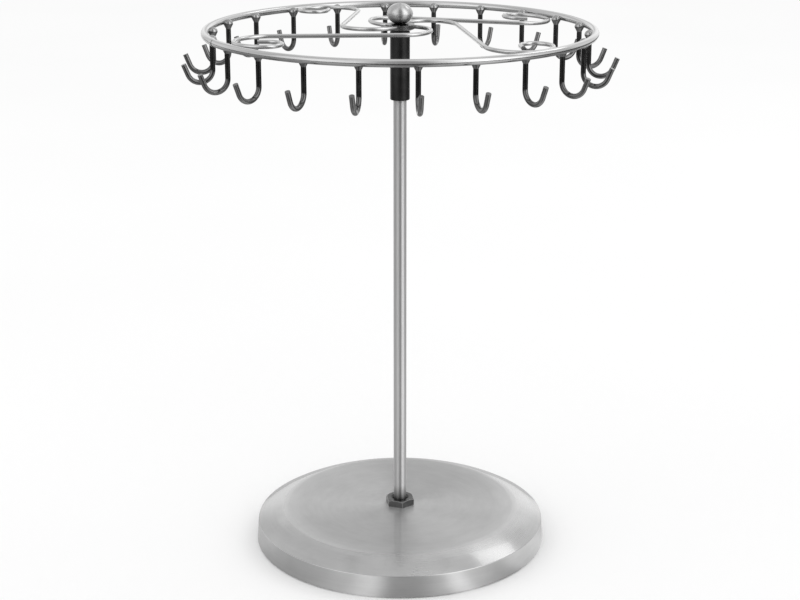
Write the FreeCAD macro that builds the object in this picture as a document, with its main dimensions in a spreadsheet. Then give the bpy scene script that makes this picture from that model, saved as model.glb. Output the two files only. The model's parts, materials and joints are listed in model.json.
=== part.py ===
import FreeCAD, Part
import os
import Sketcher
from FreeCAD import Placement, Rotation, Vector

# A revolving stand for necklaces and bracelets, in millimetres, +Z up.
# The origin is on the post's axis, in the plane that the foot pad rests on; -Y is the front.
#
# The fixed half is a weighted round base with a post bolted through it. The turning half is a
# sleeve that drops over the post and hangs on the post's tip. Four scroll arms run from the
# sleeve's head to a wire ring, and J-shaped hooks are welded round the inside of the ring.

SIZES = {
    # Hook ring
    "ring_outside": 228.6,
    "ring_wire": 4.3,
    "ring_height": 317.2,
    "seam_place": -67.3,
    "seam_swell": 0.25,
    "seam_spread": 1.6,
    # Hooks: each hangs from the inner side of the ring and opens outwards
    "hook_count": 22,
    "hook_first": 5.0,
    "hook_wire": 3.0,
    "hook_drop": 27.0,
    "hook_bend": 7.3,
    "hook_flare": 22.0,
    "hook_tip": 6.5,
    "bead_wide": 5.7,
    "bead_cap": 3.1,
    "bead_taper": 2.6,
    "bead_sink": 1.9,
    "weld_sink": 0.3,
    # Scroll arms
    "arm_wire": 2.4,
    "arm_bend": 16.8,
    "arm_rise": 2.4,
    "scroll_entry": 20.0,
    "scroll_foot": 17.0,
    "scroll_return": 9.5,
    "scroll_eye": 8.0,
    "scroll_tail": 5.5,
    "seat_left": 2.3,
    "seat_front": 0.5,
    "seat_right": -2.0,
    "seat_back": 0.0,
    # Hub: sleeve, head and finial
    "sleeve_width": 11.5,
    "sleeve_length": 40.0,
    "sleeve_edge": 0.3,
    "head_below_ring": 0.2,
    "head_width": 16.8,
    "head_skirt": 1.3,
    "head_rim": 2.6,
    "head_crown": 0.4,
    "head_shank": 12.0,
    "finial_width": 15.0,
    "finial_tall": 12.2,
    "finial_flat": 0.5,
    "finial_stud": 4.0,
    "stud_length": 9.0,
    "stud_pocket": 10.0,
    # Post and its fixings
    "post_wire": 7.85,
    "tip_round": 1.2,
    "nut_flats": 16.0,
    "nut_height": 4.4,
    "nut_sink": 10.4,
    "nut_turn": 10.0,
    "nut_corner_cut": 0.6,
    "washer_width": 19.0,
    "washer_thick": 1.4,
    "thread_end": 1.2,
    # Base
    "base_width": 179.0,
    "base_height": 20.7,
    "rim_flare": 1.0,
    "shoulder_width": 16.9,
    "shoulder_drop": 7.2,
    "shoulder_round": 60.0,
    "flat_blend": 12.0,
    "crease_round": 0.5,
    "cover_wall": 1.2,
    "cover_lift": 0.8,
    "lip_width": 5.0,
    "plate_play": 0.7,
    "plate_thick": 1.2,
    "pad_edge": 0.4,
    "ballast_margin": 7.6,
    "ballast_edge": 3.0,
    "counterbore": 24.0,
    "counterbore_deep": 9.3,
    # Clearances
    "turning_gap": 0.075,
    "thrust_gap": 0.05,
    "thread_gap": 0.05,
    "hole_gap": 0.15,
    "pad_gap": 0.3,
}

# Each arm's scroll meets the ring midway between two hooks: its gap, counted from the front
# hook, and the size that says how far above the ring's plane the wire is seated there.
ARMS = (
    (18, "seat_left"),
    (2, "seat_front"),
    (7, "seat_right"),
    (12, "seat_back"),
)

document = FreeCAD.newDocument("revolving_jewelry_stand")
sheet = document.addObject("Spreadsheet::Sheet", "sizes")
for row, (alias, number) in enumerate(SIZES.items(), start=1):
    sheet.set(f"A{row}", alias)
    sheet.set(f"B{row}", str(number))
    sheet.setAlias(f"B{row}", alias)
document.recompute()

# Places that more than one piece is fitted to, as expressions of the sheet's cells.
RING_RADIUS = "(sizes.ring_outside - sizes.ring_wire) / 2"
SHANK_RADIUS = f"({RING_RADIUS} - (sizes.ring_wire + sizes.hook_wire) / 2 + sizes.weld_sink)"
HOOK_STEP = "(360 / sizes.hook_count)"
BEAD_ROUND = "((sizes.bead_wide ^ 2 / 4 + sizes.bead_cap ^ 2) / (2 * sizes.bead_cap))"
RIM_RADIUS = "(sizes.base_width / 2)"
CREASE_RADIUS = f"({RIM_RADIUS} - sizes.rim_flare)"
CREASE_HEIGHT = "(sizes.base_height - sizes.shoulder_drop)"
FLAT_RADIUS = f"({CREASE_RADIUS} - sizes.shoulder_width)"
LIP_RADIUS = f"({RIM_RADIUS} - sizes.lip_width)"
PAD_RADIUS = f"({LIP_RADIUS} - sizes.pad_gap)"
BALLAST_RADIUS = f"({FLAT_RADIUS} - sizes.ballast_margin)"
POST_RADIUS = "sizes.post_wire / 2"
SLEEVE_BORE = "(sizes.post_wire / 2 + sizes.turning_gap)"
HEAD_BASE = "(sizes.ring_height - sizes.head_below_ring)"
HEAD_TOP = "(sizes.head_skirt + sizes.head_rim + sizes.head_crown)"
TIP_HEIGHT = f"({HEAD_BASE} - sizes.head_shank - sizes.thrust_gap)"
LIP_TOP = "(sizes.cover_lift + sizes.cover_wall)"
PLATE_TOP = f"({LIP_TOP} + sizes.plate_thick)"
BALLAST_TOP = "(sizes.base_height - sizes.cover_wall)"
WASHER_TOP = f"({PLATE_TOP} + sizes.counterbore_deep)"
POST_FOOT = f"({WASHER_TOP} - sizes.washer_thick - sizes.nut_height - sizes.thread_end)"
NUT_BORE = "(sizes.post_wire / 2 + sizes.thread_gap)"
POST_HOLE = "(sizes.post_wire / 2 + sizes.hole_gap)"

# Two lengths closer than this are one length when an edge is looked up by its size.
SAME_LENGTH = 0.001


def value(expression):
    """The number that an expression of the sheet's cells stands for."""
    return float(sheet.evalExpression(str(expression)))


def new_body(label):
    body = document.addObject("PartDesign::Body", label)
    body.Label = label
    return body


def new_sketch(body, label, plane):
    """A sketch on one of the body's own origin planes."""
    sketch = body.newObject("Sketcher::SketchObject", label)
    support = next(item for item in body.Origin.OriginFeatures if item.Role == plane)
    sketch.AttachmentSupport = [(support, "")]
    sketch.MapMode = "FlatFace"
    return sketch


def bind(sketch, constraint, name, expression):
    """Adds a named dimension and ties it to the sheet."""
    index = sketch.addConstraint(constraint)
    sketch.renameConstraint(index, name)
    sketch.setExpression(f"Constraints.{name}", expression)


def pin_point(sketch, edge, end, name, across, up):
    """Places one end of an edge by its distances from the sketch's origin."""
    if across == "0":
        sketch.addConstraint(Sketcher.Constraint("PointOnObject", edge, end, -2))
    else:
        rule = Sketcher.Constraint("DistanceX", -1, 1, edge, end, value(across))
        bind(sketch, rule, f"{name}_across", across)
    if up == "0":
        sketch.addConstraint(Sketcher.Constraint("PointOnObject", edge, end, -1))
    else:
        rule = Sketcher.Constraint("DistanceY", -1, 1, edge, end, value(up))
        bind(sketch, rule, f"{name}_up", up)


def draw_outline(sketch, corners, arcs=None):
    """A closed outline through named corners; arcs names the corners that an arc starts from."""
    arcs = arcs or {}
    points = [Vector(value(across), value(up), 0) for name, across, up in corners]
    for index, (name, across, up) in enumerate(corners):
        start = points[index]
        finish = points[(index + 1) % len(points)]
        if name in arcs:
            sketch.addGeometry(arc_between(start, finish, value(arcs[name])), False)
        else:
            sketch.addGeometry(Part.LineSegment(start, finish), False)
    for index, (name, across, up) in enumerate(corners):
        following = (index + 1) % len(corners)
        start_end = 2 if name in arcs else 1
        finish_end = 1 if name in arcs else 2
        next_start = 2 if corners[following][0] in arcs else 1
        sketch.addConstraint(
            Sketcher.Constraint("Coincident", index, finish_end, following, next_start)
        )
        pin_point(sketch, index, start_end, name, across, up)
        if name in arcs:
            rule = Sketcher.Constraint("Radius", index, value(arcs[name]))
            bind(sketch, rule, f"{name}_round", arcs[name])


def arc_between(start, finish, radius):
    """The arc of a radius that bulges upwards, from a left point to a lower right one.

    It runs anticlockwise, so its first end is the right point and its second the left one.
    """
    middle = (start + finish) * 0.5
    chord = finish - start
    reach = (radius ** 2 - (chord.Length / 2) ** 2) ** 0.5
    inward = Vector(chord.y, -chord.x, 0).normalize()
    centre = middle + inward * reach
    circle = Part.Circle(centre, Vector(0, 0, 1), radius)
    return Part.ArcOfCircle(circle, circle.parameter(finish), circle.parameter(start))


def revolve(body, label, corners, arcs=None, across=None):
    """A turned solid: the outline in the XZ plane, swept round Z or a line across from it."""
    sketch = new_sketch(body, f"{label}_outline", "XZ_Plane")
    if across:
        sketch.AttachmentOffset = Placement(Vector(value(across), 0, 0), Rotation())
        sketch.setExpression("AttachmentOffset.Base.x", across)
    draw_outline(sketch, corners, arcs)
    turned = body.newObject("PartDesign::Revolution", label)
    turned.Profile = sketch
    turned.ReferenceAxis = (sketch, ["V_Axis"])
    turned.Angle = 360
    document.recompute()
    return turned


def draw_circle(sketch, name, radius, across="0"):
    """A circle centred on the sketch's X axis."""
    circle = Part.Circle(Vector(value(across), 0, 0), Vector(0, 0, 1), value(radius))
    edge = sketch.addGeometry(circle, False)
    pin_point(sketch, edge, 3, name, across, "0")
    bind(sketch, Sketcher.Constraint("Radius", edge, value(radius)), f"{name}_radius", radius)


def pad_disc(body, label, radius, thickness, bore=None):
    """A disc, or a ring where it has a bore, that stands on the body's XY plane."""
    sketch = new_sketch(body, f"{label}_outline", "XY_Plane")
    draw_circle(sketch, "rim", radius)
    if bore:
        draw_circle(sketch, "bore", bore)
    pad = body.newObject("PartDesign::Pad", label)
    pad.Profile = sketch
    pad.setExpression("Length", thickness)
    document.recompute()
    return pad


def round_edges(feature, radius, height):
    """The names of a feature's circular edges about Z that have this radius and height."""
    names = []
    for number, edge in enumerate(feature.Shape.Edges, start=1):
        curve = edge.Curve
        if not isinstance(curve, Part.Circle):
            continue
        off_centre = Vector(curve.Center.x, curve.Center.y, 0).Length
        misfits = (off_centre, abs(curve.Radius - radius), abs(curve.Center.z - height))
        if max(misfits) < SAME_LENGTH:
            names.append(f"Edge{number}")
    return names


def dress(body, kind, label, feature, edges, size_name, expression):
    """A fillet or a chamfer on the named edges of the body's last feature."""
    dressed = body.newObject(f"PartDesign::{kind}", label)
    dressed.Base = (feature, edges)
    dressed.setExpression(size_name, expression)
    document.recompute()
    return dressed


def place(item, across="0", up="0", turn=None):
    """Sets a body or primitive by its distances from the axis and the ground, and its turn."""
    angle = value(turn) if turn else 0
    item.Placement = Placement(
        Vector(value(across), 0, value(up)), Rotation(Vector(0, 0, 1), angle)
    )
    item.setExpression("Placement.Base.x", across)
    item.setExpression("Placement.Base.z", up)
    if turn:
        item.setExpression("Placement.Rotation.Angle", turn)


# ---------------------------------------------------------------- base


def lowest_face(feature):
    """The name of the feature's lowest flat face."""
    faces = feature.Shape.Faces
    lowest = min(range(len(faces)), key=lambda index: faces[index].CenterOfMass.z)
    return f"Face{lowest + 1}"


def cut_hole(body, label, radius, length):
    """A round hole up the body's axis from its XY plane."""
    hole = body.newObject("PartDesign::SubtractiveCylinder", label)
    hole.setExpression("Radius", radius)
    hole.setExpression("Height", length)
    document.recompute()
    return hole


def make_base_cover():
    """A spun steel cover: flat top, rounded shoulder, crisp crease, flared wall, inward lip."""
    body = new_body("base_cover")
    dome = revolve(
        body,
        "cover_dome",
        (
            ("top_axis", "0", "sizes.base_height"),
            ("flat", FLAT_RADIUS, "sizes.base_height"),
            ("crease", CREASE_RADIUS, CREASE_HEIGHT),
            ("rim", RIM_RADIUS, "sizes.cover_lift"),
            ("foot_axis", "0", "sizes.cover_lift"),
        ),
        arcs={"flat": "sizes.shoulder_round"},
    )
    flat_edge = round_edges(dome, value(FLAT_RADIUS), value("sizes.base_height"))
    blend = dress(
        body, "Fillet", "flat_blend", dome, flat_edge, "Radius", "sizes.flat_blend"
    )
    shell = body.newObject("PartDesign::Thickness", "cover_shell")
    shell.Base = (blend, [lowest_face(blend)])
    shell.Reversed = True
    shell.setExpression("Value", "sizes.cover_wall")
    document.recompute()
    crease = round_edges(shell, value(CREASE_RADIUS), value(CREASE_HEIGHT))
    dress(body, "Fillet", "crease_fillet", shell, crease, "Radius", "sizes.crease_round")
    inside_wall = f"({RIM_RADIUS} - sizes.cover_wall / 2)"
    revolve(
        body,
        "cover_lip",
        (
            ("lip_low", LIP_RADIUS, "sizes.cover_lift"),
            ("lip_out", inside_wall, "sizes.cover_lift"),
            ("lip_wall", inside_wall, LIP_TOP),
            ("lip_top", LIP_RADIUS, LIP_TOP),
        ),
    )
    cut_hole(body, "post_hole", POST_HOLE, "sizes.base_height + sizes.cover_wall")
    return body


def make_bottom_plate():
    """A steel disc that the cover's lip holds and the ballast stands on."""
    body = new_body("bottom_plate")
    radius = f"{RIM_RADIUS} - sizes.cover_wall - sizes.plate_play"
    pad_disc(body, "plate_disc", radius, "sizes.plate_thick")
    place(body, up=LIP_TOP)
    return body


def make_foot_pad():
    """A soft disc glued under the bottom plate, proud of the cover's rim."""
    body = new_body("foot_pad")
    disc = pad_disc(body, "pad_disc", PAD_RADIUS, LIP_TOP)
    rim = round_edges(disc, value(PAD_RADIUS), 0)
    dress(body, "Chamfer", "pad_chamfer", disc, rim, "Size", "sizes.pad_edge")
    return body


def make_ballast_weight():
    """A cast disc under the cover's flat, counterbored for the lower nut."""
    body = new_body("ballast_weight")
    thickness = f"({BALLAST_TOP} - {PLATE_TOP})"
    bore_top = "sizes.counterbore_deep"
    revolve(
        body,
        "ballast_casting",
        (
            ("bore_top", POST_HOLE, thickness),
            ("shoulder", f"({BALLAST_RADIUS} - sizes.ballast_edge)", thickness),
            ("side_top", BALLAST_RADIUS, f"({thickness} - sizes.ballast_edge)"),
            ("side_foot", BALLAST_RADIUS, "0"),
            ("pocket_foot", "sizes.counterbore / 2", "0"),
            ("pocket_top", "sizes.counterbore / 2", bore_top),
            ("bore_foot", POST_HOLE, bore_top),
        ),
    )
    place(body, up=PLATE_TOP)
    return body


# ---------------------------------------------------------------- post and its fixings


def make_post():
    """A plain rod from inside the base to the sleeve's head, with a rounded tip."""
    body = new_body("post")
    rod = revolve(
        body,
        "post_rod",
        (
            ("foot_axis", "0", POST_FOOT),
            ("foot", POST_RADIUS, POST_FOOT),
            ("tip", POST_RADIUS, TIP_HEIGHT),
            ("tip_axis", "0", TIP_HEIGHT),
        ),
    )
    tip = round_edges(rod, value(POST_RADIUS), value(TIP_HEIGHT))
    rounded = dress(body, "Fillet", "tip_fillet", rod, tip, "Radius", "sizes.tip_round")
    foot = round_edges(rounded, value(POST_RADIUS), value(POST_FOOT))
    dress(body, "Chamfer", "foot_chamfer", rounded, foot, "Size", "sizes.thread_end / 2")
    return body


def draw_hexagon(sketch, flats):
    """A hexagon about the origin, with a corner on the sketch's X axis."""
    corner_radius = f"({flats} / sqrt(3))"
    reach = value(corner_radius)
    turns = [Rotation(Vector(0, 0, 1), 60 * step) for step in range(6)]
    corners = [turn.multVec(Vector(reach, 0, 0)) for turn in turns]
    for index in range(6):
        side = Part.LineSegment(corners[index], corners[(index + 1) % 6])
        sketch.addGeometry(side, False)
    guide = Part.Circle(Vector(0, 0, 0), Vector(0, 0, 1), reach)
    circle = sketch.addGeometry(guide, True)
    sketch.addConstraint(Sketcher.Constraint("Coincident", circle, 3, -1, 1))
    for index in range(6):
        sketch.addConstraint(Sketcher.Constraint("Coincident", index, 2, (index + 1) % 6, 1))
        sketch.addConstraint(Sketcher.Constraint("PointOnObject", index, 1, circle))
    for index in range(1, 6):
        sketch.addConstraint(Sketcher.Constraint("Equal", 0, index))
    sketch.addConstraint(Sketcher.Constraint("PointOnObject", 0, 1, -1))
    rule = Sketcher.Constraint("Radius", circle, reach)
    bind(sketch, rule, "corner_radius", corner_radius)


def make_nut(label, up, turn, sink_top):
    """A hexagon nut with its corners cut back to a cone, and a countersunk bore if sink_top."""
    body = new_body(label)
    sketch = new_sketch(body, f"{label}_hexagon", "XY_Plane")
    draw_hexagon(sketch, "sizes.nut_flats")
    blank = body.newObject("PartDesign::Pad", f"{label}_blank")
    blank.Profile = sketch
    blank.setExpression("Length", "sizes.nut_height")
    document.recompute()
    corner = "(sizes.nut_flats / sqrt(3))"
    wedge = new_sketch(body, f"{label}_corner_wedge", "XZ_Plane")
    draw_outline(
        wedge,
        (
            ("inner", f"({corner} - 2 * sizes.nut_corner_cut)", "sizes.nut_height"),
            ("low", f"({corner} + sizes.nut_corner_cut)",
             "(sizes.nut_height - 1.5 * sizes.nut_corner_cut)"),
            ("outer", f"({corner} + sizes.nut_corner_cut)",
             "(sizes.nut_height + sizes.nut_corner_cut)"),
        ),
    )
    groove = body.newObject("PartDesign::Groove", f"{label}_corner_cut")
    groove.Profile = wedge
    groove.ReferenceAxis = (wedge, ["V_Axis"])
    groove.Angle = 360
    document.recompute()
    bored = cut_hole(body, f"{label}_bore", NUT_BORE, "sizes.nut_height")
    if sink_top:
        mouth = round_edges(bored, value(NUT_BORE), value("sizes.nut_height"))
        depth = f"sizes.nut_sink / 2 - {NUT_BORE}"
        dress(body, "Chamfer", f"{label}_countersink", bored, mouth, "Size", depth)
    place(body, up=up, turn=turn)
    return body


def make_lower_washer():
    """A flat washer between the ballast and the lower nut."""
    body = new_body("lower_washer")
    pad_disc(body, "washer_disc", "sizes.washer_width / 2", "sizes.washer_thick", NUT_BORE)
    place(body, up=f"({WASHER_TOP} - sizes.washer_thick)")
    return body


# ---------------------------------------------------------------- hub


def make_hub_sleeve():
    """The tube that turns on the post, its mouth edges broken."""
    body = new_body("hub_sleeve")
    tube = pad_disc(body, "tube", "sizes.sleeve_width / 2", "sizes.sleeve_length", SLEEVE_BORE)
    mouth = round_edges(tube, value("sizes.sleeve_width / 2"), 0)
    dress(body, "Chamfer", "mouth_chamfer", tube, mouth, "Size", "sizes.sleeve_edge")
    place(body, up=f"({HEAD_BASE} - sizes.sleeve_length)")
    return body


def make_hub_head():
    """The sleeve's head: a shank pressed into the tube, a flange that carries the arms.

    The shank's lower face rides on the post's tip, and the finial screws into the top.
    """
    body = new_body("hub_head")
    rim_foot = "sizes.head_skirt"
    rim_top = "(sizes.head_skirt + sizes.head_rim)"
    pocket = "(sizes.finial_stud / 2 + sizes.thread_gap)"
    revolve(
        body,
        "head_turning",
        (
            ("shank_axis", "0", "-sizes.head_shank"),
            ("shank_foot", SLEEVE_BORE, "-sizes.head_shank"),
            ("shank_top", SLEEVE_BORE, "0"),
            ("seat", "sizes.sleeve_width / 2", "0"),
            ("rim_foot", "sizes.head_width / 2", rim_foot),
            ("rim_top", "sizes.head_width / 2", rim_top),
            ("crown", "(sizes.finial_width / 3)", HEAD_TOP),
            ("pocket_mouth", pocket, HEAD_TOP),
            ("pocket_side", pocket, f"({HEAD_TOP} - sizes.stud_pocket)"),
            ("pocket_foot", "0", f"({HEAD_TOP} - sizes.stud_pocket)"),
        ),
    )
    place(body, up=HEAD_BASE)
    return body


def make_finial_ball():
    """A slightly flattened ball on a stud."""
    body = new_body("finial_ball")
    middle = "(sizes.finial_tall / 2 - sizes.finial_flat)"
    ball = body.newObject("PartDesign::AdditiveEllipsoid", "ball")
    ball.setExpression("Radius1", "sizes.finial_tall / 2")
    ball.setExpression("Radius2", "sizes.finial_width / 2")
    ball.setExpression("Radius3", "sizes.finial_width / 2")
    place(ball, up=middle)
    document.recompute()
    seat = body.newObject("PartDesign::SubtractiveCylinder", "seat")
    seat.setExpression("Radius", "sizes.finial_width")
    seat.setExpression("Height", "sizes.finial_width")
    place(seat, up="-sizes.finial_width")
    document.recompute()
    stud = body.newObject("PartDesign::AdditiveCylinder", "stud")
    stud.setExpression("Radius", "sizes.finial_stud / 2")
    stud.setExpression("Height", f"sizes.stud_length + {middle}")
    place(stud, up="-sizes.stud_length")
    document.recompute()
    place(body, up=f"({HEAD_BASE} + {HEAD_TOP})")
    return body


# ---------------------------------------------------------------- ring, arms and hooks


def make_carousel_ring():
    """A closed hoop of round wire with the swollen seam of its butt weld."""
    body = new_body("carousel_ring")
    hoop = body.newObject("PartDesign::AdditiveTorus", "hoop")
    hoop.setExpression("Radius1", RING_RADIUS)
    hoop.setExpression("Radius2", "sizes.ring_wire / 2")
    document.recompute()
    seam = body.newObject("PartDesign::AdditiveTorus", "seam")
    seam.setExpression("Radius1", RING_RADIUS)
    seam.setExpression("Radius2", "sizes.ring_wire / 2 + sizes.seam_swell")
    seam.setExpression("Angle3", "sizes.seam_spread")
    place(seam, turn="-90 + sizes.seam_place")
    document.recompute()
    place(body, up="sizes.ring_height")
    return body


def cut_ring_saddle(body, label):
    """Hollows a welded wire where it lies against the ring."""
    saddle = body.newObject("PartDesign::SubtractiveTorus", f"{label}_saddle")
    saddle.setExpression("Radius1", RING_RADIUS)
    saddle.setExpression("Radius2", "sizes.ring_wire / 2")
    document.recompute()


def sweep_wire(body, label, path, profile):
    """A round wire: the profile's circle carried along the whole path."""
    pipe = body.newObject("PartDesign::AdditivePipe", label)
    pipe.Profile = profile
    pipe.Spine = (path, [f"Edge{number + 1}" for number in range(len(path.Shape.Edges))])
    document.recompute()
    return pipe


def draw_hook_path(sketch):
    """Shank down, round the bend and up the flared tip; X is outwards, Y is up."""
    bend_up = "(sizes.hook_wire / 2 + sizes.hook_bend - sizes.hook_drop)"
    shank = value(SHANK_RADIUS)
    level = value(bend_up)
    bend = value("sizes.hook_bend")
    flare = value("sizes.hook_flare")
    tip = value("sizes.hook_tip")
    centre = Vector(shank + bend, level, 0)
    lean = Rotation(Vector(0, 0, 1), -flare)
    bend_end = centre + lean.multVec(Vector(bend, 0, 0))
    tip_end = bend_end + lean.multVec(Vector(0, tip, 0))
    circle = Part.Circle(centre, Vector(0, 0, 1), bend)
    bottom_arc = Part.ArcOfCircle(
        circle, circle.parameter(Vector(shank, level, 0)), circle.parameter(bend_end)
    )
    sketch.addGeometry(Part.LineSegment(Vector(shank, 0, 0), Vector(shank, level, 0)), False)
    sketch.addGeometry(bottom_arc, False)
    sketch.addGeometry(Part.LineSegment(bend_end, tip_end), False)
    pin_point(sketch, 0, 1, "shank", SHANK_RADIUS, "0")
    sketch.addConstraint(Sketcher.Constraint("Vertical", 0))
    sketch.addConstraint(Sketcher.Constraint("Tangent", 0, 2, 1, 1))
    sketch.addConstraint(Sketcher.Constraint("Tangent", 1, 2, 2, 1))
    bind(sketch, Sketcher.Constraint("Radius", 1, bend), "bend", "sizes.hook_bend")
    level_rule = Sketcher.Constraint("DistanceY", -1, 1, 1, 3, level)
    bind(sketch, level_rule, "bend_level", bend_up)
    slope = Sketcher.Constraint("Angle", 2, (90 - flare) * FreeCAD.Units.Quantity("1 deg"))
    bind(sketch, slope, "tip_slope", "(90 - sizes.hook_flare) * 1 deg")
    bind(sketch, Sketcher.Constraint("Distance", 2, tip), "tip_length", "sizes.hook_tip")


def make_hook(number):
    """One J hook with the flared bead of its weld, hollowed where it meets the ring."""
    label = f"hook_{number + 1:02d}"
    body = new_body(label)
    path = new_sketch(body, f"{label}_path", "XZ_Plane")
    draw_hook_path(path)
    profile = new_sketch(body, f"{label}_section", "XY_Plane")
    draw_circle(profile, "wire", "sizes.hook_wire / 2", SHANK_RADIUS)
    document.recompute()
    sweep_wire(body, f"{label}_wire", path, profile)
    bead_foot = "(-sizes.bead_sink - sizes.bead_taper)"
    revolve(
        body,
        f"{label}_bead",
        (
            ("cap_axis", "0", "(sizes.bead_cap - sizes.bead_sink)"),
            ("side", "sizes.bead_wide / 2", "-sizes.bead_sink"),
            ("foot", "sizes.hook_wire / 2", bead_foot),
            ("foot_axis", "0", bead_foot),
        ),
        arcs={"cap_axis": BEAD_ROUND},
        across=SHANK_RADIUS,
    )
    cut_ring_saddle(body, label)
    whole_turns = round((value("sizes.hook_first - 90") + number * value(HOOK_STEP)) / 360)
    turn = f"sizes.hook_first - 90 + {number} * {HOOK_STEP} - 360 * {whole_turns}"
    place(body, up="sizes.ring_height", turn=turn)
    return body


def quarter_turn(sketch, centre, radius, start_angle):
    """Adds a quarter of a circle that runs anticlockwise from start_angle, in degrees."""
    circle = Part.Circle(centre, Vector(0, 0, 1), radius)
    first = centre + Rotation(Vector(0, 0, 1), start_angle).multVec(Vector(radius, 0, 0))
    last = centre + Rotation(Vector(0, 0, 1), start_angle + 90).multVec(Vector(radius, 0, 0))
    arc = Part.ArcOfCircle(circle, circle.parameter(first), circle.parameter(last))
    return sketch.addGeometry(arc, False)


def contact_radius(seat):
    """How far from the axis the arm's wire lies where its scroll touches the ring."""
    reach = "((sizes.ring_wire + sizes.arm_wire) / 2 - sizes.weld_sink)"
    return f"({RING_RADIUS} - sqrt({reach} ^ 2 - sizes.{seat} ^ 2))"


def draw_arm_path(sketch, seat):
    """From the hub's axis round the bend, along the bar to -X, and round the scroll."""
    bend = value("sizes.arm_bend")
    entry = value("sizes.scroll_entry")
    foot = value("sizes.scroll_foot")
    back = value("sizes.scroll_return")
    eye = value("sizes.scroll_eye")
    foot_reach = f"({contact_radius(seat)} - sizes.scroll_foot)"
    level = -2 * bend - entry
    foot_x = -((value(foot_reach) ** 2 - level ** 2) ** 0.5)
    entry_x = foot_x - foot + entry
    floor = level - foot
    hub_circle = Part.Circle(Vector(0, -bend, 0), Vector(0, 0, 1), bend)
    hub_arc = Part.ArcOfCircle(
        hub_circle,
        hub_circle.parameter(Vector(0, -2 * bend, 0)),
        hub_circle.parameter(Vector(0, 0, 0)),
    )
    sketch.addGeometry(hub_arc, False)
    bar = Part.LineSegment(Vector(0, -2 * bend, 0), Vector(entry_x, -2 * bend, 0))
    sketch.addGeometry(bar, False)
    quarter_turn(sketch, Vector(entry_x, level, 0), entry, 90)
    quarter_turn(sketch, Vector(foot_x, level, 0), foot, 180)
    quarter_turn(sketch, Vector(foot_x, floor + back, 0), back, 270)
    eye_centre = Vector(foot_x + back - eye, floor + back, 0)
    quarter_turn(sketch, eye_centre, eye, 0)
    tail_start = eye_centre + Vector(0, eye, 0)
    tail_end = tail_start - Vector(value("sizes.scroll_tail"), 0, 0)
    sketch.addGeometry(Part.LineSegment(tail_start, tail_end), False)
    sketch.addConstraint(Sketcher.Constraint("Coincident", 0, 2, -1, 1))
    sketch.addConstraint(Sketcher.Constraint("PointOnObject", 0, 3, -2))
    sketch.addConstraint(Sketcher.Constraint("PointOnObject", 0, 1, -2))
    sketch.addConstraint(Sketcher.Constraint("Tangent", 0, 1, 1, 1))
    sketch.addConstraint(Sketcher.Constraint("Tangent", 1, 2, 2, 1))
    sketch.addConstraint(Sketcher.Constraint("Horizontal", 2, 3, 2, 2))
    sketch.addConstraint(Sketcher.Constraint("Tangent", 2, 2, 3, 1))
    sketch.addConstraint(Sketcher.Constraint("Vertical", 3, 3, 3, 2))
    sketch.addConstraint(Sketcher.Constraint("Tangent", 3, 2, 4, 1))
    sketch.addConstraint(Sketcher.Constraint("Horizontal", 4, 3, 4, 2))
    sketch.addConstraint(Sketcher.Constraint("Tangent", 4, 2, 5, 1))
    sketch.addConstraint(Sketcher.Constraint("Vertical", 5, 3, 5, 2))
    sketch.addConstraint(Sketcher.Constraint("Tangent", 5, 2, 6, 1))
    bind(sketch, Sketcher.Constraint("Radius", 0, bend), "hub_bend", "sizes.arm_bend")
    bind(sketch, Sketcher.Constraint("Radius", 2, entry), "entry", "sizes.scroll_entry")
    bind(sketch, Sketcher.Constraint("Radius", 3, foot), "foot", "sizes.scroll_foot")
    bind(sketch, Sketcher.Constraint("Radius", 4, back), "back", "sizes.scroll_return")
    bind(sketch, Sketcher.Constraint("Radius", 5, eye), "eye", "sizes.scroll_eye")
    reach_rule = Sketcher.Constraint("Distance", -1, 1, 3, 3, value(foot_reach))
    bind(sketch, reach_rule, "foot_reach", foot_reach)
    tail_rule = Sketcher.Constraint("Distance", 6, value("sizes.scroll_tail"))
    bind(sketch, tail_rule, "tail", "sizes.scroll_tail")


def lead_angle(seat):
    """How far round the axis the scroll's touch on the ring lies from the arm's own -X."""
    level = "(2 * sizes.arm_bend + sizes.scroll_entry)"
    return f"asin({level} / ({contact_radius(seat)} - sizes.scroll_foot))"


def tilt_sketch(sketch, axis, up_direction, seat):
    """Lifts a sketch to the arms' height at the hub and slopes it down to the ring."""
    run = f"({contact_radius(seat)} * cos({lead_angle(seat)}))"
    slope = f"asin((sizes.arm_rise - sizes.{seat}) / {run})"
    sketch.AttachmentOffset = Placement(
        up_direction * value("sizes.arm_rise"), Rotation(axis, value(slope))
    )
    letter = "y" if up_direction.y else "z"
    sketch.setExpression(f"AttachmentOffset.Base.{letter}", "sizes.arm_rise")
    sketch.setExpression("AttachmentOffset.Rotation.Angle", slope)


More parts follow.
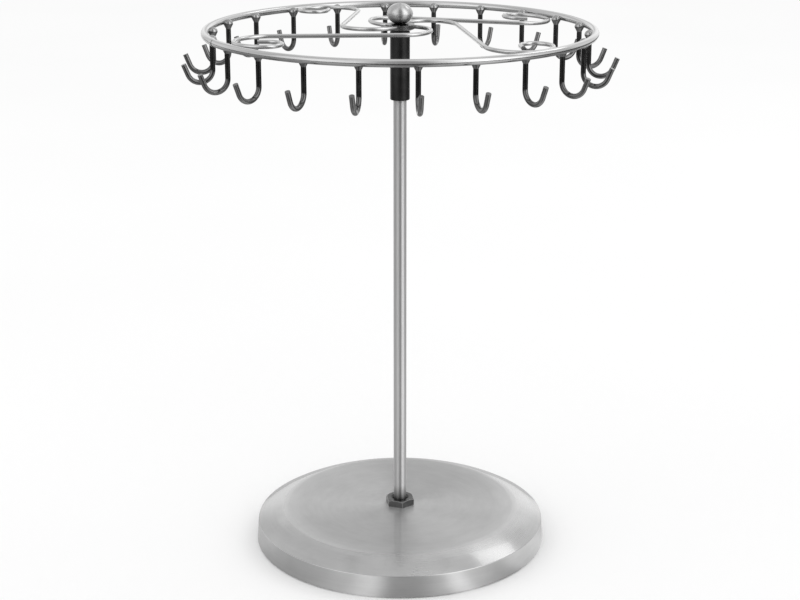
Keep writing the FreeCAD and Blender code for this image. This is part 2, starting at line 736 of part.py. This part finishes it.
def make_arm(number, gap, seat):
    """One scroll arm: welded to the head's rim, sloping out to the ring it curls against."""
    label = f"scroll_arm_{number + 1}"
    body = new_body(label)
    path = new_sketch(body, f"{label}_path", "XY_Plane")
    draw_arm_path(path, seat)
    tilt_sketch(path, Vector(0, -1, 0), Vector(0, 0, 1), seat)
    profile = new_sketch(body, f"{label}_section", "YZ_Plane")
    draw_circle(profile, "wire", "sizes.arm_wire / 2")
    tilt_sketch(profile, Vector(-1, 0, 0), Vector(0, 1, 0), seat)
    document.recompute()
    sweep_wire(body, f"{label}_wire", path, profile)
    cut_ring_saddle(body, label)
    trim = body.newObject("PartDesign::SubtractiveCylinder", f"{label}_trim")
    trim.setExpression("Radius", "sizes.head_width / 2")
    trim.setExpression("Height", "4 * sizes.arm_wire")
    place(trim, up="sizes.arm_rise - 2 * sizes.arm_wire")
    document.recompute()
    middle = f"sizes.hook_first - 90 + {gap + 0.5} * {HOOK_STEP}"
    whole_turns = round((value(middle) - 180) / 360)
    turn = f"{middle} - 180 - {lead_angle(seat)} / 1 deg - 360 * {whole_turns}"
    place(body, up="sizes.ring_height", turn=turn)
    return body


# ---------------------------------------------------------------- assembly


def make_everything():
    pieces = [
        make_base_cover(),
        make_bottom_plate(),
        make_foot_pad(),
        make_ballast_weight(),
        make_post(),
        make_nut("post_nut", "sizes.base_height", "sizes.nut_turn - 90", sink_top=True),
        make_lower_washer(),
        make_nut("lower_nut", f"({WASHER_TOP} - sizes.washer_thick - sizes.nut_height)",
                 "sizes.nut_turn - 90", sink_top=False),
        make_hub_sleeve(),
        make_hub_head(),
        make_finial_ball(),
        make_carousel_ring(),
    ]
    for number, (gap, seat) in enumerate(ARMS):
        pieces.append(make_arm(number, gap, seat))
    for number in range(int(value("sizes.hook_count"))):
        pieces.append(make_hook(number))
    return pieces


pieces = make_everything()
document.recompute()
failed = [item.Name for item in document.Objects if {"Invalid", "Error"} & set(item.State)]
if failed:
    raise SystemExit(f"failed features: {failed}")
os.makedirs("parts", exist_ok=True)
for piece in pieces:
    if piece.Shape.isNull() or not piece.Shape.isValid():
        raise SystemExit(f"{piece.Label} has no valid shape")
    piece.Shape.exportStep(f"parts/{piece.Label}.step")
    print(f"{piece.Label}: {piece.Shape.Volume:.1f} mm3")
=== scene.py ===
"""The looks of the revolving jewelry stand: its metals, a pale floor, soft studio light, a camera.

Every length is in metres, in the stand's own frame: +Z up the post, -Y towards the front.
"""

import json
import math

import bpy
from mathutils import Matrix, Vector

# The camera, as fitted to an image 800 pixels wide.
IMAGE_WIDTH = 800
FOCAL_PIXELS = 1724.7
SENSOR_WIDTH = 36.0
CAMERA_PLACE = (0.0, -0.9951, 0.4676)
CAMERA_PITCH = math.radians(17.48)

# How bright the studio is that the metals mirror, by degrees above the horizon and by degrees
# round from the front, towards +X.
STUDIO_BY_HEIGHT = (
    (-90, 0.08),
    (-9, 0.08),
    (-3, 0.95),
    (5, 1.10),
    (22, 1.00),
    (42, 0.92),
    (65, 0.84),
    (90, 0.80),
)
STUDIO_ROUND = (
    (-180, 0.62),
    (-171, 0.92),
    (-160, 0.84),
    (-150, 0.60),
    (-128, 0.80),
    (-95, 0.60),
    (-62, 0.70),
    (-44, 1.04),
    (-28, 0.98),
    (-18, 0.70),
    (-8, 0.38),
    (13, 0.34),
    (24, 0.75),
    (34, 1.30),
    (48, 1.72),
    (66, 1.55),
    (82, 0.85),
    (96, 0.68),
    (112, 0.55),
    (124, 0.78),
    (146, 0.74),
    (162, 1.02),
    (171, 0.96),
    (180, 0.62),
)

# Towards the zenith the turn round from the front stops mattering, between these degrees.
ZENITH_FADE = (54, 86)
ZENITH_LEVEL = 0.95

# How bright the floor close round the base looks to the metals, by degrees round from the front,
# towards +X. The base's own wall mirrors it.
FLOOR_ROUND = (
    (-180, 0.70),
    (-110, 0.62),
    (-93, 0.86),
    (-80, 0.84),
    (-66, 0.70),
    (-54, 0.64),
    (-40, 0.64),
    (-27, 0.80),
    (-13, 1.42),
    (-3, 0.60),
    (10, 0.60),
    (18, 0.68),
    (27, 1.50),
    (35, 0.70),
    (50, 0.60),
    (60, 1.20),
    (80, 1.32),
    (95, 1.00),
    (110, 0.60),
    (180, 0.70),
)

# The floor that the metals see is a sweep between these corners. The camera sees the floor run
# on past it, to this far from the post each way.
SWEEP_LOW = (-1.30, -0.72)
SWEEP_HIGH = (0.75, 4.0)
FLOOR_HALF = 9.0

# How bright the sweep looks to the metals near the base and away from it, and the distances from
# the post between which that changes.
SWEEP_LEVELS = (0.86, 0.50)
SWEEP_REACH = (0.14, 0.34)

# The sweep gains this much behind the stand, between these places on Y.
BACK_GAIN = 0.60
SWEEP_BACK = (0.40, 0.90)

# Under the base the sweep is dark, and close round the base it is in shade, between these
# distances from the post.
BASE_SHADE = (0.080, 0.088)
CONTACT_SHADE = 0.72
CONTACT_REACH = (0.092, 0.116)

# The values between which a noise texture mostly lies.
NOISE_LOW = 0.3
NOISE_HIGH = 0.7

# Turns the grain's soft direction across the lines that run round Z.
GRAIN_TURN = 0.25

# How far the wear and the painted highlight reach from an edge of the nuts and the head.
EDGE_REACH = 0.0006

# The heights between which the black plating gives way to the bare metal of the weld beads.
BEAD_BARE = (0.3150, 0.3162)

# How far down a face looks, as its normal's height, where the wires and the ball get painted
# shade.
WIRE_UNDERSIDE = (-0.75, -0.12)
BALL_UNDERSIDE = (-0.52, -0.08)

# The distances from the post over which the hooks' bends start to get a painted sheen: a lighter
# grey, and more roughness.
BEND_PAINTED_SHEEN = (0.1155, 0.1185)

# The base cover's flat, painted darker than its crown as painted shade, ends and its crown
# starts between these distances from the post, and its wall ends and its crown starts between
# these heights.
CROWN_START = (0.060, 0.074)
WALL_TOP = (0.0128, 0.0136)

# Steel above these heights is the carousel's head, which is painted brighter than the nuts, as
# painted light.
HEAD_START = (0.20, 0.25)

# An edge with wear and a painted highlight is one where the bevelled and the true normal part:
# their product at full wear and highlight and at none.
EDGE_MATCH = (0.90, 0.995)

# The painted shade round the post's foot ends between these heights, and the painted shade inside
# the nut's mouth between these distances from the post's middle line.
FOOT_PAINTED_SHADE = (0.0250, 0.0340)
MOUTH_PAINTED_SHADE = (0.0052, 0.0060)


# ---------------------------------------------------------------- node materials


class Tree:
    """A material's or the world's node tree under construction."""

    def __init__(self, owner):
        self.data = owner
        owner.use_nodes = True
        self.nodes = owner.node_tree.nodes
        self.links = owner.node_tree.links
        self.nodes.clear()

    def node(self, kind, inputs=None, **settings):
        """Adds a node, sets its fields, then sets or links each named or numbered input."""
        made = self.nodes.new(kind)
        for field, setting in settings.items():
            setattr(made, field, setting)
        for socket, feed in (inputs or {}).items():
            if isinstance(feed, bpy.types.NodeSocket):
                self.links.new(feed, made.inputs[socket])
            else:
                made.inputs[socket].default_value = feed
        return made

    def math(self, operation, *feeds):
        made = self.node("ShaderNodeMath", dict(enumerate(feeds)), operation=operation)
        return made.outputs[0]

    def ranged(self, feed, low, high, start=NOISE_LOW, end=NOISE_HIGH):
        """Maps feed from start..end to low..high, held at the ends."""
        inputs = {0: feed, 1: start, 2: end, 3: low, 4: high}
        return self.node("ShaderNodeMapRange", inputs).outputs[0]

    def mix(self, factor, first, second, blend="MIX"):
        """A colour between two colours or colour sockets."""
        made = self.node("ShaderNodeMix", {0: factor}, data_type="RGBA", blend_type=blend)
        for socket, feed in ((6, first), (7, second)):
            if isinstance(feed, bpy.types.NodeSocket):
                self.links.new(feed, made.inputs[socket])
            else:
                made.inputs[socket].default_value = feed
        return made.outputs[2]

    def parts(self, vector):
        """The X, Y and Z of a vector."""
        return self.node("ShaderNodeSeparateXYZ", {0: vector}).outputs

    def graded(self, angle, limit, stops):
        """A grey that follows an angle, in radians, through stops given in degrees."""
        limit_angle = math.radians(limit)
        reach = self.ranged(angle, 0.0, 1.0, -limit_angle, limit_angle)
        ramp = self.node("ShaderNodeValToRGB", {"Fac": reach})
        ramp.color_ramp.interpolation = "EASE"
        elements = ramp.color_ramp.elements
        while len(elements) < len(stops):
            elements.new(0.5)
        for element, (degrees, level) in zip(elements, stops):
            element.position = (degrees + limit) / (2 * limit)
            element.color = (level, level, level, 1)
        return ramp.outputs["Color"]

    def all_round(self, direction, stops):
        """A grey that follows a direction's turn from the front through stops."""
        parts = self.parts(direction)
        forward = self.math("MULTIPLY", parts[1], -1.0)
        return self.graded(self.math("ARCTAN2", parts[0], forward), 180, stops)

    def by_glossy_rays(self, mirrored, others):
        """The first shader for rays that metals mirror, the second for all other rays."""
        rays = self.node("ShaderNodeLightPath").outputs["Is Glossy Ray"]
        return self.node("ShaderNodeMixShader", {0: rays, 1: others, 2: mirrored}).outputs[0]


class Material(Tree):
    """A material in the object's own coordinates."""

    def __init__(self, name):
        super().__init__(bpy.data.materials.new(name))
        self.output = self.nodes.new("ShaderNodeOutputMaterial")
        self.place = self.node("ShaderNodeTexCoord").outputs["Object"]

    def noise(self, vector, scale, detail=3.0, roughness=0.5):
        inputs = {"Vector": vector, "Scale": scale, "Detail": detail, "Roughness": roughness}
        return self.node("ShaderNodeTexNoise", inputs).outputs["Fac"]

    def stretched(self, across, up):
        """Object coordinates scaled by across in X and Y and by up in Z."""
        inputs = {"Vector": self.place, "Scale": (across, across, up)}
        return self.node("ShaderNodeMapping", inputs).outputs["Vector"]

    def height(self):
        return self.parts(self.place)[2]

    def flattened(self):
        """Object coordinates with the height left out."""
        parts = self.parts(self.place)
        return self.node("ShaderNodeCombineXYZ", {0: parts[0], 1: parts[1]}).outputs[0]

    def away(self):
        """The distance from the post's middle line."""
        inputs = {0: self.flattened()}
        return self.node("ShaderNodeVectorMath", inputs, operation="LENGTH").outputs["Value"]

    def shade(self, noise, low, high):
        """A colour between two greys, or two colours, that follows a noise."""
        return self.mix(self.ranged(noise, 0.0, 1.0), (*low, 1.0), (*high, 1.0))

    def edge_wear_and_glint_mask(self, reach):
        """1 at edges, 0 on faces and beyond reach of an edge."""
        rounded = self.node("ShaderNodeBevel", {"Radius": reach}, samples=6).outputs[0]
        flat = self.node("ShaderNodeNewGeometry").outputs["Normal"]
        inputs = {0: rounded, 1: flat}
        match = self.node("ShaderNodeVectorMath", inputs, operation="DOT_PRODUCT")
        return self.ranged(match.outputs["Value"], 1.0, 0.0, *EDGE_MATCH)

    def underside(self, full, start):
        """1 on faces that look down, from one height of their normal, 0 above the other."""
        facing = self.parts(self.node("ShaderNodeNewGeometry").outputs["Normal"])[2]
        return self.ranged(facing, 1.0, 0.0, full, start)

    def bump(self, height, strength, distance):
        inputs = {"Height": height, "Strength": strength, "Distance": distance}
        return self.node("ShaderNodeBump", inputs).outputs["Normal"]

    def polar(self, slow, fast, up):
        """Coordinates that run slowly round Z, quickly outwards and at their own rate up Z."""
        unit = {0: self.flattened()}
        way = self.node("ShaderNodeVectorMath", unit, operation="NORMALIZE").outputs[0]
        scaled = {0: way, "Scale": slow}
        turn = self.node("ShaderNodeVectorMath", scaled, operation="SCALE").outputs[0]
        sides = self.parts(turn)
        rise = self.math("MULTIPLY", self.height(), up)
        out = self.math("MULTIPLY", self.away(), fast)
        run = self.math("ADD", rise, out)
        return self.node("ShaderNodeCombineXYZ", {0: sides[0], 1: sides[1], 2: run}).outputs[0]

    def metal(self, colour, roughness, normal=None, anisotropic=0.0, rotation=0.0, coat=0.0):
        inputs = {
            "Base Color": colour,
            "Metallic": 1.0,
            "Roughness": roughness,
            "Anisotropic": anisotropic,
            "Anisotropic Rotation": rotation,
            "Coat Weight": coat,
            "Coat Roughness": 0.04,
        }
        if normal is not None:
            inputs["Normal"] = normal
        if anisotropic:
            tangent = self.node("ShaderNodeTangent", direction_type="RADIAL", axis="Z")
            inputs["Tangent"] = tangent.outputs[0]
        shader = self.node("ShaderNodeBsdfPrincipled", inputs)
        self.links.new(shader.outputs[0], self.output.inputs["Surface"])
        return self.data


def grey(level):
    return (level, level, level)


def spun_steel():
    m = Material("spun_steel")
    rings = m.noise(m.polar(1.2, 1500.0, 1500.0), 1.0, detail=1.0)
    haze = m.noise(m.place, 22.0, detail=2.0)
    crown = m.ranged(m.away(), 0.0, 1.0, *CROWN_START)
    spun = m.noise(m.polar(4.0, 260.0, 260.0), 1.0, detail=3.0)
    cloud = m.noise(m.place, 55.0, detail=4.0, roughness=0.6)
    # The flat is a darker grey than the crown: painted shade on the base's top.
    flat_painted_shade = m.shade(rings, grey(0.55), grey(0.565))
    crown_tone = m.shade(rings, grey(0.60), grey(0.62))
    bright = m.mix(crown, flat_painted_shade, crown_tone)
    streaked = m.mix(1.0, bright, m.shade(spun, grey(0.96), grey(1.03)), "MULTIPLY")
    colour = m.mix(1.0, streaked, m.shade(cloud, grey(0.96), grey(1.03)), "MULTIPLY")
    satin = m.math("ADD", m.ranged(rings, 0.245, 0.265), m.ranged(haze, -0.01, 0.02))
    flat_dull = m.ranged(crown, 0.19, 0.0, 0.0, 1.0)
    wall_dull = m.ranged(m.height(), 0.11, 0.0, *WALL_TOP)
    roughness = m.math("ADD", satin, m.math("ADD", flat_dull, wall_dull))
    return m.metal(colour, roughness, anisotropic=0.85, rotation=GRAIN_TURN, coat=0.8)


def post_steel():
    m = Material("post_steel")
    lines = m.noise(m.stretched(1500.0, 40.0), 1.0, detail=3.0)
    haze = m.noise(m.stretched(60.0, 14.0), 1.0, detail=2.0)
    # Darker towards the post's foot, at the nut: painted shade.
    painted_shade = m.ranged(m.height(), 0.0, 1.0, *FOOT_PAINTED_SHADE)
    clean = m.shade(lines, grey(0.70), grey(0.78))
    colour = m.mix(painted_shade, m.shade(haze, grey(0.10), grey(0.20)), clean)
    roughness = m.math("ADD", m.ranged(lines, 0.39, 0.43), m.ranged(haze, -0.02, 0.03))
    normal = m.bump(lines, 0.02, 0.00005)
    return m.metal(colour, roughness, normal, anisotropic=1.0, rotation=GRAIN_TURN)


def wire_plating():
    m = Material("wire_plating")
    drawn = m.noise(m.polar(14.0, 2400.0, 2400.0), 1.0, detail=3.0)
    mottle = m.noise(m.place, 90.0, detail=2.0)
    bright = m.shade(mottle, grey(0.67), grey(0.71))
    # Faces that look down are painted a dark grey: painted shade.
    underside_shade = m.shade(mottle, grey(0.26), grey(0.34))
    colour = m.mix(m.underside(*WIRE_UNDERSIDE), bright, underside_shade)
    roughness = m.math("ADD", m.ranged(drawn, 0.15, 0.19), m.ranged(mottle, -0.01, 0.03))
    normal = m.bump(drawn, 0.02, 0.00004)
    return m.metal(colour, roughness, normal)


def hook_plating():
    m = Material("hook_plating")
    drawn = m.noise(m.stretched(1800.0, 150.0), 1.0, detail=3.0)
    mottle = m.noise(m.place, 160.0, detail=2.0)
    bare = m.ranged(m.height(), 0.0, 1.0, *BEAD_BARE)
    painted_sheen = m.ranged(m.away(), 0.0, 1.0, *BEND_PAINTED_SHEEN)
    sound = m.shade(mottle, grey(0.14), grey(0.18))
    # The bends out past the ring are painted a lighter grey: painted sheen.
    plating = m.mix(painted_sheen, sound, m.shade(mottle, grey(0.20), grey(0.27)))
    colour = m.mix(bare, plating, m.shade(mottle, grey(0.32), grey(0.50)))
    gloss = m.math("ADD", m.ranged(drawn, 0.08, 0.12), m.ranged(mottle, -0.01, 0.03))
    roughness = m.math("ADD", gloss, m.ranged(painted_sheen, 0.0, 0.10, 0.0, 1.0))
    normal = m.bump(drawn, 0.01, 0.00004)
    return m.metal(colour, roughness, normal)


def black_plating():
    m = Material("black_plating")
    lines = m.noise(m.stretched(1300.0, 60.0), 1.0, detail=3.0)
    haze = m.noise(m.place, 120.0, detail=3.0)
    colour = m.shade(haze, grey(0.050), grey(0.075))
    roughness = m.math("ADD", m.ranged(lines, 0.30, 0.36), m.ranged(haze, -0.02, 0.04))
    normal = m.bump(lines, 0.05, 0.00004)
    return m.metal(colour, roughness, normal)


def turned_steel(name, low, high, rough, anisotropic=0.0, edge_wear_and_glint=None, underside_shade=None):
    """Steel from a lathe, its tool marks running round Z.

    Where a grey for the edges is given, its edges are that bright, as wear and a painted
    highlight, and its bore is painted dark, as painted shade. Where a grey for the underside is
    given, its underside is that dark, as painted shade.
    """
    m = Material(name)
    marks = m.noise(m.polar(1.5, 3200.0, 3200.0), 1.0, detail=2.0)
    stain = m.noise(m.place, 240.0, detail=4.0)
    colour = m.shade(stain, grey(low), grey(high))
    if edge_wear_and_glint:
        # Above the nuts the head is painted a lighter grey: painted light.
        aloft = m.ranged(m.height(), 0.0, 1.0, *HEAD_START)
        head = m.shade(marks, grey(0.26), grey(0.40))
        painted_shade = (*grey(0.05), 1.0)
        colour = m.mix(aloft, colour, head)
        # Edges a lighter grey: wear, and a painted highlight.
        colour = m.mix(m.edge_wear_and_glint_mask(EDGE_REACH), colour, (*grey(edge_wear_and_glint), 1.0))
        # Inside the nut's mouth a near-black grey: painted shade.
        colour = m.mix(m.ranged(m.away(), 0.0, 1.0, *MOUTH_PAINTED_SHADE), painted_shade, colour)
    if underside_shade:
        # Its underside is painted a dark grey: painted shade.
        colour = m.mix(m.underside(*BALL_UNDERSIDE), colour, (*grey(underside_shade), 1.0))
    roughness = m.math("ADD", m.ranged(marks, rough, rough + 0.06), m.ranged(stain, -0.02, 0.03))
    normal = m.bump(marks, 0.03, 0.00004)
    return m.metal(colour, roughness, normal, anisotropic, GRAIN_TURN)


def cast_iron():
    m = Material("ballast")
    grain = m.noise(m.place, 700.0, detail=6.0, roughness=0.65)
    stain = m.noise(m.place, 60.0, detail=3.0)
    colour = m.shade(stain, (0.13, 0.125, 0.12), (0.20, 0.195, 0.19))
    roughness = m.ranged(grain, 0.6, 0.8)
    normal = m.bump(grain, 0.5, 0.0004)
    return m.metal(colour, roughness, normal)


def foam_pad():
    m = Material("pad")
    cells = m.node("ShaderNodeTexVoronoi", {"Vector": m.place, "Scale": 900.0}).outputs["Distance"]
    dust = m.noise(m.place, 80.0, detail=4.0)
    colour = m.shade(dust, (0.045, 0.045, 0.05), (0.075, 0.075, 0.08))
    shader = m.node(
        "ShaderNodeBsdfPrincipled",
        {
            "Base Color": colour,
            "Roughness": m.ranged(dust, 0.82, 0.95),
            "Normal": m.bump(cells, 0.4, 0.0003),
        },
    )
    m.links.new(shader.outputs[0], m.output.inputs["Surface"])
    return m.data


# ---------------------------------------------------------------- floor, light and camera


def make_floor():
    """A pale floor. The metals see only the sweep in the middle of it, which glows for them."""
    m = Material("floor_paper")
    tone = m.noise(m.place, 3.0, detail=1.0)
    paper = m.node(
        "ShaderNodeBsdfPrincipled",
        {
            "Base Color": m.shade(tone, grey(0.955), grey(0.965)),
            "Roughness": 0.9,
            "Specular IOR Level": 0.0,
        },
    ).outputs[0]
    away = m.away()
    back = m.ranged(m.parts(m.place)[1], 0.0, BACK_GAIN, *SWEEP_BACK)
    lit = m.math("ADD", m.ranged(away, *SWEEP_LEVELS, *SWEEP_REACH), back)
    contact = m.ranged(away, CONTACT_SHADE, 1.0, *CONTACT_REACH)
    shade = m.math("MULTIPLY", contact, m.ranged(away, 0.0, 1.0, *BASE_SHADE))
    level = m.math("MULTIPLY", lit, shade)
    near = m.all_round(m.place, FLOOR_ROUND)
    far = m.all_round(m.place, STUDIO_ROUND)
    bands = m.mix(m.ranged(away, 0.0, 1.0, *SWEEP_REACH), near, far)
    glow = m.node("ShaderNodeEmission", {"Color": bands, "Strength": level})
    m.links.new(m.by_glossy_rays(glow.outputs[0], paper), m.output.inputs["Surface"])
    m.data.cycles.emission_sampling = "NONE"
    inner = rectangle(SWEEP_LOW, SWEEP_HIGH)
    outer = rectangle((-FLOOR_HALF, -FLOOR_HALF), (FLOOR_HALF, FLOOR_HALF))
    sweep = make_mesh("floor_sweep", inner, [(0, 1, 2, 3)])
    sides = [(side, side + 4, (side + 1) % 4 + 4, (side + 1) % 4) for side in range(4)]
    surround = make_mesh("floor_surround", inner + outer, sides)
    surround.visible_glossy = False
    for part in (sweep, surround):
        part.data.materials.append(m.data)


def rectangle(low, high):
    """The corners of a rectangle on the ground, anticlockwise."""
    return [
        (low[0], low[1], 0.0),
        (high[0], low[1], 0.0),
        (high[0], high[1], 0.0),
        (low[0], high[1], 0.0),
    ]


def make_mesh(name, points, faces):
    mesh = bpy.data.meshes.new(name)
    mesh.from_pydata(points, [], faces)
    made = bpy.data.objects.new(name, mesh)
    bpy.context.scene.collection.objects.link(made)
    return made


def make_world():
    """A white room for the camera and the floor; for the metals, the studio that they mirror."""
    w = Tree(bpy.data.worlds.new("studio"))
    bpy.context.scene.world = w.data
    w.data.cycles.sampling_method = "NONE"
    direction = w.node("ShaderNodeTexCoord").outputs["Generated"]
    rise = w.math("ARCSINE", w.parts(direction)[2])
    fade = w.ranged(rise, 0.0, 1.0, *(math.radians(degrees) for degrees in ZENITH_FADE))
    around = w.mix(fade, w.all_round(direction, STUDIO_ROUND), (*grey(ZENITH_LEVEL), 1.0))
    room = w.mix(1.0, w.graded(rise, 90, STUDIO_BY_HEIGHT), around, "MULTIPLY")
    studio = w.node("ShaderNodeBackground", {"Color": room}).outputs[0]
    white = w.node("ShaderNodeBackground", {"Color": (1, 1, 1, 1)}).outputs[0]
    output = w.node("ShaderNodeOutputWorld")
    w.links.new(w.by_glossy_rays(studio, white), output.inputs["Surface"])


def make_panel(name, place, target, size, power):
    """A rectangular soft light that faces its target."""
    light = bpy.data.lights.new(name, "AREA")
    light.shape = "RECTANGLE"
    light.size, light.size_y = size
    light.energy = power
    panel = bpy.data.objects.new(name, light)
    panel.location = place
    panel.rotation_euler = (Vector(target) - Vector(place)).to_track_quat("-Z", "Y").to_euler()
    bpy.context.scene.collection.objects.link(panel)


def make_camera():
    lens = bpy.data.cameras.new("camera")
    lens.sensor_width = SENSOR_WIDTH
    lens.lens = FOCAL_PIXELS / IMAGE_WIDTH * SENSOR_WIDTH
    camera = bpy.data.objects.new("camera", lens)
    camera.location = CAMERA_PLACE
    camera.rotation_euler = (math.pi / 2 - CAMERA_PITCH, 0, 0)
    bpy.context.scene.collection.objects.link(camera)
    bpy.context.scene.camera = camera


# ---------------------------------------------------------------- the scene


def dress_nodes(frame):
    """Gives each CAD node the finish of its slot in the record."""
    finishes = {
        "spun_steel": spun_steel(),
        "plain_steel": turned_steel("plain_steel", low=0.48, high=0.60, rough=0.30),
        "pad": foam_pad(),
        "ballast": cast_iron(),
        "post_steel": post_steel(),
        "dark_steel": turned_steel("dark_steel", low=0.12, high=0.17, rough=0.18, edge_wear_and_glint=0.60),
        "black_plating": black_plating(),
        "ball_steel": turned_steel(
            "ball_steel", low=0.60, high=0.68, rough=0.23, anisotropic=0.93, underside_shade=0.25
        ),
        "wire_plating": wire_plating(),
        "hook_plating": hook_plating(),
    }
    for part in frame["record"]["subparts"]:
        node = frame["nodes"][part["node"]]
        node.data.materials.clear()
        node.data.materials.append(finishes[part["material_slot"]])


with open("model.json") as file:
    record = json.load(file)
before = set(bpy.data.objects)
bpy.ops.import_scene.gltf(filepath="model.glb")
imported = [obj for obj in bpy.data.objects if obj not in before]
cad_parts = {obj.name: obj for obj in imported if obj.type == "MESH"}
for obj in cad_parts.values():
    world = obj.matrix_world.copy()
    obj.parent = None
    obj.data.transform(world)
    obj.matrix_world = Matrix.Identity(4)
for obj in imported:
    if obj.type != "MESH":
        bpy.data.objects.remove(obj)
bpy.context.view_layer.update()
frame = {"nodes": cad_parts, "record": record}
bpy.context.scene.view_settings.view_transform = "Standard"
dress_nodes(frame)
make_floor()
make_world()
make_panel("key", place=(1.01, 0.79, 1.52), target=(0, 0, 0.1), size=(0.6, 0.6), power=1.4)
make_panel("fill", place=(-1.3, -0.7, 1.2), target=(0, 0, 0.15), size=(0.9, 1.2), power=1.0)
make_camera()
